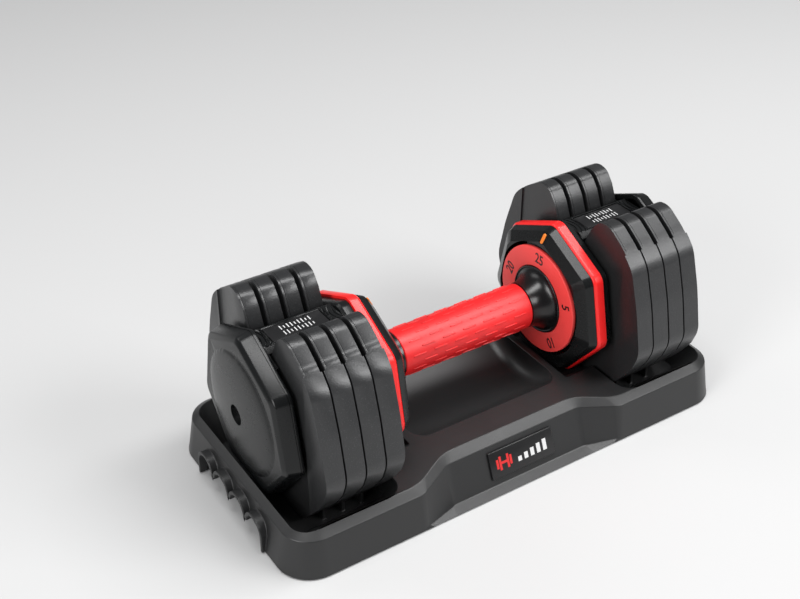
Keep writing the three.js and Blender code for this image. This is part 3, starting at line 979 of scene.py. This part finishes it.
# a bridge runs through the plates' slots from each back housing to its end cap; heights are from the axis
bridgeLook = {
    "x": (0.0968, 0.1562),
    "half": 0.0138,
    "bottom": 0.034,
    "side": 0.049,
    "top": 0.0525,
    "chamfer": 0.004,
    "tongueIn": ((-0.0038, -0.012, 0.035), (0.001, 0.012, 0.043)),
    "tongueOut": ((-0.001, -0.012, 0.035), (0.007, 0.012, 0.0465)),
    "label": (0.106, 0.148, 0.0085, 0.0015),
    "ribs": (0.0135, 0.0165, 0.0195),
    "ribWide": 0.0009,
    "ribAway": 0.0105,
    "ribHeight": 0.0014,
    "flare": [
        (0.0138, 0.040),
        (0.0138, 0.0488),
        (0.0155, 0.0485),
        (0.0185, 0.0475),
        (0.0225, 0.0468),
        (0.0265, 0.0463),
        (0.0265, 0.040),
    ],
    "flareAt": 0.1539,
    "flareThick": 0.0023,
}


def makeBridges():
    look = bridgeLook
    x0, x1 = look["x"]
    half, top = look["half"], axisZ + look["top"]
    section = [
        (-half, look["bottom"]),
        (half, look["bottom"]),
        (half, look["side"]),
        (half - look["chamfer"], look["top"]),
        (-half + look["chamfer"], look["top"]),
        (-half, look["side"]),
    ]
    bridge = drawn("bridge", [(x0, y, axisZ + z) for y, z in section])
    thicken(bridge, x1 - x0)
    for name, x in (("tongueIn", x0), ("tongueOut", x1)):
        low, high = [(x + corner[0], corner[1], axisZ + corner[2]) for corner in look[name]]
        carve(bridge, block(name, low, high), "UNION")
    lx0, lx1, ly, deep = look["label"]
    # a fine border line round the label's recess
    low, high = (lx0 - 0.0022, -ly - 0.0016, top - 0.0004), (lx1 + 0.0022, ly + 0.0016, top + 0.002)
    border = block("border", low, high)
    low, high = (lx0 - 0.0016, -ly - 0.001, top - 0.001), (lx1 + 0.0016, ly + 0.001, top + 0.003)
    carve(border, block("border_core", low, high))
    carve(bridge, border)
    carve(bridge, block("recess", (lx0, -ly, top - deep), (lx1, ly, top + 0.002)))
    # curved steps beside each head
    for middle in (x0 - look["ribAway"], x1 + look["ribAway"]):
        place = (middle, 0, top + look["ribHeight"])
        for radius in look["ribs"]:
            groove = disc("groove", radius, 0.004, place)
            carve(groove, disc("groove_core", radius - look["ribWide"], 0.006, place))
            carve(bridge, groove)
    rounded(bridge, 0.0003, 2, 35)
    evened(bridge)
    mirroredPair(bridge, "bridge", "cover_plastic", "core")


def makeFlares():
    # the cap's shoulder sweeps out of the bridge's side; it stands in the gap before the last plate
    flares = []
    for side in (1, -1):
        points = [(bridgeLook["flareAt"], side * y, axisZ + z) for y, z in bridgeLook["flare"]]
        flare = drawn("flare", points)
        thicken(flare, bridgeLook["flareThick"])
        flares.append(flare)
    both = joined(flares, "shoulder")
    rounded(both, 0.0004, 3, 50)
    evened(both, 40)
    both.name = both.data.name = "shoulder_right"
    left = copied(both, "shoulder_left", scale=(-1, 1, 1))
    smooth(left, 40)
    finishPiece(both, "cover_plastic", "core")
    finishPiece(left, "cover_plastic", "core")


def makeLabels():
    # a plain dark panel with two columns of short ticks
    look = {
        "gap": 0.0005,
        "low": 0.0012,
        "high": 0.0002,
        "ticks": 9,
        "tick": (0.0007, 0.0044),
        "shorter": 0.0009,
        "first": 0.010,
        "pitch": 0.0026,
        "rows": (-0.0031, 0.0031),
        "proud": 0.00008,
        "sunk": 0.00002,
    }
    lx0, lx1, ly, deep = bridgeLook["label"]
    top = axisZ + bridgeLook["top"]
    panel = block(
        "label_panel",
        (lx0 + look["gap"], -ly + look["gap"], top - look["low"]),
        (lx1 - look["gap"], ly - look["gap"], top - look["high"]),
    )
    rounded(panel, 0.0003, 2, 40)
    smooth(panel)
    mirroredPair(panel, "label_panel", "panel_dark", "core")
    for end, side in (("right", 1), ("left", -1)):
        ticks = []
        for index in range(look["ticks"]):
            x = side * (lx0 + look["first"] + index * look["pitch"])
            for y in look["rows"]:
                shorten = look["shorter"] if (index * 2 + (y > 0)) % 3 == 0 else 0
                wide, long = look["tick"][0] / 2, look["tick"][1] / 2 - shorten
                low = top - look["high"] - look["sunk"]
                high = low + look["proud"]
                ticks.append(block("tick", (x - wide, y - long, low), (x + wide, y + long, high)))
        marks = joined(ticks, f"label_ticks_{end}")
        finishPiece(marks, "ink_light", "core")


# eight plates of one shape; the outline is half a plate in millimetres, (y, z) from the axis
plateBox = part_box("plate_right_1")
plateLook = {
    "outline": [
        (0, -68),
        (45, -66),
        (67, -41),
        (77, -26),
        (82, -12),
        (75, 20),
        (66, 48),
        (57, 58.6),
        (38, 71),
        (28, 69.5),
        (21, 61),
        (15, 48),
    ],
    "corners": {
        (45, -66): 6,
        (67, -41): 12,
        (82, -12): 12,
        (75, 20): 12,
        (66, 48): 9,
        (57, 58.6): 18,
        (38, 71): 10,
        (28, 69.5): 7,
    },
    "slot": 15,
    "thick": plateBox[1][0] - plateBox[0][0],
    "step": 0.0011,
    "stepHalf": 0.057,
    "edge": 0.0012,
    "seamAt": 0.0026,
    "seam": 0.0002,
    "seamDeep": 0.0004,
    "seamHalf": 0.0555,
    # from x, to x and depth under the axis
    "hooks": {"web": (0.008, 0.011, 0.016), "peg": (0.0038, 0.009, 0.0106)},
    "hookHalf": 0.003,
    "hookTop": 0.007,
}


def plateOutline(name, x):
    slot = plateLook["slot"]
    turns = [math.radians(a) for a in range(0, -91, -10)]
    points = plateLook["outline"] + [(slot * math.cos(a), slot * math.sin(a)) for a in turns]
    face = drawn(name, [(x, y * mm, axisZ + z * mm) for y, z in points])
    for (y, z), reach in plateLook["corners"].items():
        corner = Vector((x, y * mm, axisZ + z * mm))
        pick(face, "VERT", lambda c: (c - corner).length < 0.0002)
        bpy.ops.mesh.bevel(offset=reach * 0.45 * mm, segments=5, affect="VERTICES")
        bpy.ops.object.mode_set(mode="OBJECT")
    modified(face, "MIRROR", use_axis=(False, True, False), use_clip=True, merge_threshold=0.00001)
    edit(face)
    bpy.ops.mesh.select_all(action="SELECT")
    bpy.ops.mesh.dissolve_limited(angle_limit=0.001)
    bpy.ops.object.mode_set(mode="OBJECT")
    return face


def thicken(face, depth):
    pick(face, "FACE", lambda c: True)
    extrudeBy((depth, 0, 0))
    bpy.ops.object.mode_set(mode="OBJECT")
    facesOut(face)


def makePlate(end, side):
    look = plateLook
    x0, thick = plateBox[0][0], look["thick"]
    plate = plateOutline(f"plate_{end}_1_look", x0)
    thicken(plate, thick)
    # both faces step back from the middle of the plate
    half, step = look["stepHalf"], look["step"]
    for start, stop in ((x0 - 0.002, x0 + step), (x0 + thick - step, x0 + thick + 0.002)):
        carve(plate, block("step", (start, -half, 0), (stop, half, 0.2)))
    # the web and peg that the selector disc's skirt hooks under
    for name, (start, stop, deep) in look["hooks"].items():
        low = (x0 + start, -look["hookHalf"], axisZ - deep)
        high = (x0 + stop, look["hookHalf"], axisZ - look["hookTop"])
        carve(plate, block(name, low, high), "UNION")
    # the seam line runs round the rim near one face
    seamX = x0 + (look["seamAt"] if side > 0 else thick - look["seamAt"] - look["seam"])
    core = plateOutline("core", seamX)
    pick(core, "FACE", lambda c: True)
    bpy.ops.mesh.inset(thickness=look["seamDeep"])
    bpy.ops.mesh.select_all(action="INVERT")
    bpy.ops.mesh.delete(type="FACE")
    bpy.ops.object.mode_set(mode="OBJECT")
    thicken(core, look["seam"])
    seamHalf = look["seamHalf"]
    seam = block("seam", (seamX, -seamHalf, axisZ + 0.03), (seamX + look["seam"], seamHalf, 0.16))
    carve(seam, core)
    carve(plate, seam)
    rounded(plate, plateLook["edge"], 3, 35)
    evened(plate)
    if side < 0:
        name = plate.name
        left = copied(plate, "mirrored", scale=(-1, 1, 1))
        bpy.data.objects.remove(plate)
        left.name = left.data.name = name
        smooth(left)
        plate = left
    return plate


for end, side in (("right", 1), ("left", -1)):
    first = makePlate(end, side)
    for number in range(1, 5):
        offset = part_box(f"plate_{end}_{number}")[0][0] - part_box(f"plate_{end}_1")[0][0]
        plate = first if number == 1 else copied(first, f"plate_{end}_{number}_look", move=(offset, 0, 0))
        finishPiece(plate, "plate_coat", f"weight_{end}_{number}", stands=[f"plate_{end}_{number}"])
print("plates made, triangles each about", len(first.data.polygons) * 2)

makeBridges()
makeFlares()
makeLabels()
print("bridges made")

# the tray, in millimetres
trayLook = {
    # each level: half length, half depth, height, corner radius, then depth and height at the waist, softness
    "levels": [
        (183, 88, 0.8, 25, 88, 0.8, 6),
        (182.6, 87.4, 3, 25, 80, 3, 2.5),
        (178.3, 83.3, 29, 21, 68.7, 30, 3.5),
        (172.2, 77, 33, 15, 63.2, 36.2, 9),
    ],
    "waist": (55.7, 83.5),
    "cornerSteps": 14,
    # hollows as rings of from x, to x, half depth, corner radius, height
    "well": [(95.4, 166, 54, 6, 10.4), (94.6, 174.6, 82.8, 14, 39)],
    "pocket": [(68.6, 97.5, 29, 2, 24.2), (67.6, 97.5, 48, 2, 39)],
    "under": [(-179, 179, 76, 16, -0.2), (-177.5, 177.5, 75, 14, 7.2)],
    "underMiddle": ((-0.054, -0.05, -0.001), (0.054, 0.05, 0.015)),
    "scoop": {"half": 0.062, "radius": 0.06, "soft": 0.011},
    "fingers": {
        "pitch": 23.5,
        "count": 4,
        "z": 12.5,
        "hole": 9.3,
        "lip": 11.8,
        "lipAt": (176, 0.0091),
        "holeAt": (170, 0.02),
    },
    "gripHollow": [(168.5, -1), (180.2, -1), (176, 22), (172.2, 22)],
    "gripHalf": 48,
    "rib": {"half": 0.0012, "reach": 0.0505, "low": 0.0095, "top": 0.022},
    "edge": 0.0006,
    "edgeAngle": 13,
}


def softCorner(before, corner, after, trim, steps=5):
    # a corner cut back by trim on both sides and bridged with a smooth curve
    before, corner, after = Vector(before), Vector(corner), Vector(after)
    start = corner + (before - corner).normalized() * trim
    end = corner + (after - corner).normalized() * trim
    made = []
    for i in range(steps + 1):
        t = i / steps
        made.append(tuple(start * (1 - t) ** 2 + corner * 2 * t * (1 - t) + end * t * t))
    return made


def trayRing(x, y, z, corner, waistY, waistZ, soft):
    inner, outer = trayLook["waist"]
    middle, narrow, wide = (0, waistY, waistZ), (inner, waistY, waistZ), (outer, y, z)
    quarter = [middle, *softCorner(middle, narrow, wide, soft)]
    quarter += softCorner(narrow, wide, (x - corner, y, z), soft)
    steps = trayLook["cornerSteps"]
    for i in range(steps + 1):
        a = math.radians(90 * i / steps)
        quarter.append((x - corner + corner * math.sin(a), y - corner + corner * math.cos(a), z))
    rest = quarter[1:]
    ring = quarter + [(px, -py, pz) for px, py, pz in reversed(rest)] + [(0, -waistY, waistZ)]
    ring += [(-px, -py, pz) for px, py, pz in rest] + [(-px, py, pz) for px, py, pz in reversed(rest)]
    return [(px * mm, py * mm, pz * mm) for px, py, pz in ring]


def roundedRing(x0, x1, y, corner, z, steps=12):
    ring = []
    for cx, cy, quarter in ((x1, y, 0), (x0, y, 1), (x0, -y, 2), (x1, -y, 3)):
        px = cx - math.copysign(corner, cx - (x0 + x1) / 2)
        py = cy - math.copysign(corner, cy)
        for i in range(steps + 1):
            a = math.radians(90 * (quarter + i / steps))
            ring.append(((px + corner * math.cos(a)) * mm, (py + corner * math.sin(a)) * mm, z * mm))
    return ring


def archOutline(radius, foot, bottom, x):
    # arches side by side over an open foot, as points in Y and Z
    look = trayLook["fingers"]
    count, pitch = look["count"], look["pitch"]
    points = [(-foot, bottom)]
    for i in range(count):
        middle = (i - (count - 1) / 2) * pitch
        overlap = math.degrees(math.acos(min(1, pitch / 2 / radius)))
        start = 180 - (overlap if i else 0)
        stop = overlap if i < count - 1 else 0
        for step in range(25):
            a = math.radians(start + (stop - start) * step / 24)
            points.append((middle + radius * math.cos(a), look["z"] + radius * math.sin(a)))
    points.append((foot, bottom))
    return [(x * mm, y * mm, z * mm) for y, z in points]


def bothEnds(tray, cutter, operation="DIFFERENCE"):
    carve(tray, copied(cutter, "mirror", scale=(-1, 1, 1)), operation)
    carve(tray, cutter, operation)


def makeTray():
    look = trayLook
    tray = lofted("tray_look", [trayRing(*level) for level in look["levels"]], banded=True)
    for name in ("well", "pocket"):
        bothEnds(tray, lofted(name, [roundedRing(*ring) for ring in look[name]]))
    scoop = rod("scoop", -look["scoop"]["half"], look["scoop"]["half"], look["scoop"]["radius"], 160)
    rounded(scoop, look["scoop"]["soft"], 8, 60)
    carve(tray, scoop)
    carve(tray, lofted("under", [roundedRing(*ring) for ring in look["under"]]))
    carve(tray, block("under_middle", *look["underMiddle"]))
    carveFingers(tray)
    # ribs that keep the plates apart in the well
    rib = look["rib"]
    for number in range(2, 5):
        before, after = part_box(f"plate_right_{number - 1}"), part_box(f"plate_right_{number}")
        middle = (before[1][0] + after[0][0]) / 2
        low = (middle - rib["half"], -rib["reach"], rib["low"])
        high = (middle + rib["half"], rib["reach"], rib["top"])
        bothEnds(tray, block("rib", low, high), "UNION")
    edit(tray)
    bpy.ops.mesh.select_all(action="SELECT")
    bpy.ops.mesh.remove_doubles(threshold=0.00004)
    bpy.ops.object.mode_set(mode="OBJECT")
    modified(
        tray,
        "BEVEL",
        width=look["edge"],
        segments=3,
        limit_method="ANGLE",
        angle_limit=math.radians(look["edgeAngle"]),
        use_clamp_overlap=False,
    )
    evened(tray, 30)
    stands = ["tray_shell", "tray_end_grip_right", "tray_end_grip_left"]
    finishPiece(tray, "tray_plastic", "tray", stands=stands)
    print("tray has", len(tray.data.polygons), "faces")


def carveFingers(tray):
    # raised lips round the finger arches of both end walls, and the hollow behind them
    look = trayLook["fingers"]
    foot = look["count"] / 2 * look["pitch"]
    x, thick = look["lipAt"]
    lip = drawn("lip", archOutline(look["lip"], foot + 0.05, 0.8, x))
    thicken(lip, thick)
    bothEnds(tray, lip, "UNION")
    x, thick = look["holeAt"]
    opening = drawn("opening", archOutline(look["hole"], foot - 2.45, -1, x))
    thicken(opening, thick)
    bothEnds(tray, opening)
    half = trayLook["gripHalf"]
    hollow = drawn("hollow", [(x * mm, -half * mm, z * mm) for x, z in trayLook["gripHollow"]])
    pick(hollow, "FACE", lambda c: True)
    extrudeBy((0, 2 * half * mm, 0))
    bpy.ops.object.mode_set(mode="OBJECT")
    facesOut(hollow)
    bothEnds(tray, hollow)


badgeLook = {
    "size": (0.054, 0.0012, 0.02),
    "middle": (0.003, -0.0752, 0.0172),
    "slope": math.atan2(11.3, 27),
    "edge": 0.0004,
    "proud": 0.00012,
    # tiles of a small dumbbell, in millimetres: from x, to x, from z, to z
    "sign": [
        (-22, -20.2, -3.4, 3.4),
        (-19.6, -17.8, -5, 5),
        (-17.8, -13.2, -0.9, 0.9),
        (-13.2, -11.4, -5, 5),
        (-10.8, -9, -3.4, 3.4),
    ],
    "bars": [(-4 + 5.4 * i, -0.9 + 5.4 * i, -4.2, -0.8 + 1.2 * i) for i in range(5)],
}


def placeOnPanel(piece):
    # from flat at the origin, facing -Y, to the sloping panel at the front
    piece.rotation_euler = (-badgeLook["slope"], 0, 0)
    settle(piece)
    piece.location = badgeLook["middle"]
    settle(piece)


def makeBadges():
    # a plain dark plate with a small dumbbell sign and five bars, one for each setting
    look = badgeLook
    wide, thick, high = look["size"]
    plate = block("badge", (-wide / 2, -thick / 2, -high / 2), (wide / 2, thick / 2, high / 2))
    rounded(plate, look["edge"], 3, 40)
    placeOnPanel(plate)
    front = -thick / 2

    def tiles(kind):
        made = []
        for x0, x1, z0, z1 in look[kind]:
            low, high = (x0 * mm, front - look["proud"], z0 * mm), (x1 * mm, front + 0.0001, z1 * mm)
            made.append(block("tile", low, high))
        return joined(made, kind)

    sign, bars = tiles("sign"), tiles("bars")
    for piece, name, finish in ((sign, "badge_sign", "ink_red"), (bars, "badge_bars", "ink_light")):
        placeOnPanel(piece)
        rear = copied(piece, f"{name}_rear", scale=(-1, -1, 1))
        piece.name = piece.data.name = f"{name}_front"
        finishPiece(piece, finish, "tray")
        finishPiece(rear, finish, "tray")
    smooth(plate)
    rear = copied(plate, "badge_rear_look", scale=(-1, -1, 1))
    smooth(rear)
    plate.name = plate.data.name = "badge_front_look"
    finishPiece(plate, "panel_dark", "tray", stands=["badge_front"])
    finishPiece(rear, "panel_dark", "tray", stands=["badge_rear"])


makeTray()
makeBadges()
print("tray made")

def makeFloor():
    bpy.ops.mesh.primitive_plane_add(size=12, location=(0, 0, 0))
    floor = named("floor")
    material, tree, shader = newMaterial("floor_pale", {"Roughness": 0.85})
    shader.inputs["Base Color"].default_value = (0.52, 0.52, 0.52, 1)
    floor.data.materials.append(material)


clearSelection()
makeFloor()

cadFinish = {entry["node"]: entry["material_slot"] for entry in frame["record"]["subparts"]}
replaced = {name for piece in bpy.data.objects if "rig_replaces" in piece for name in piece["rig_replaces"]}
for name, piece in frame["nodes"].items():
    if name not in replaced:
        for slotIndex in range(len(piece.material_slots)):
            piece.material_slots[slotIndex].material = finishes[cadFinish[name]]
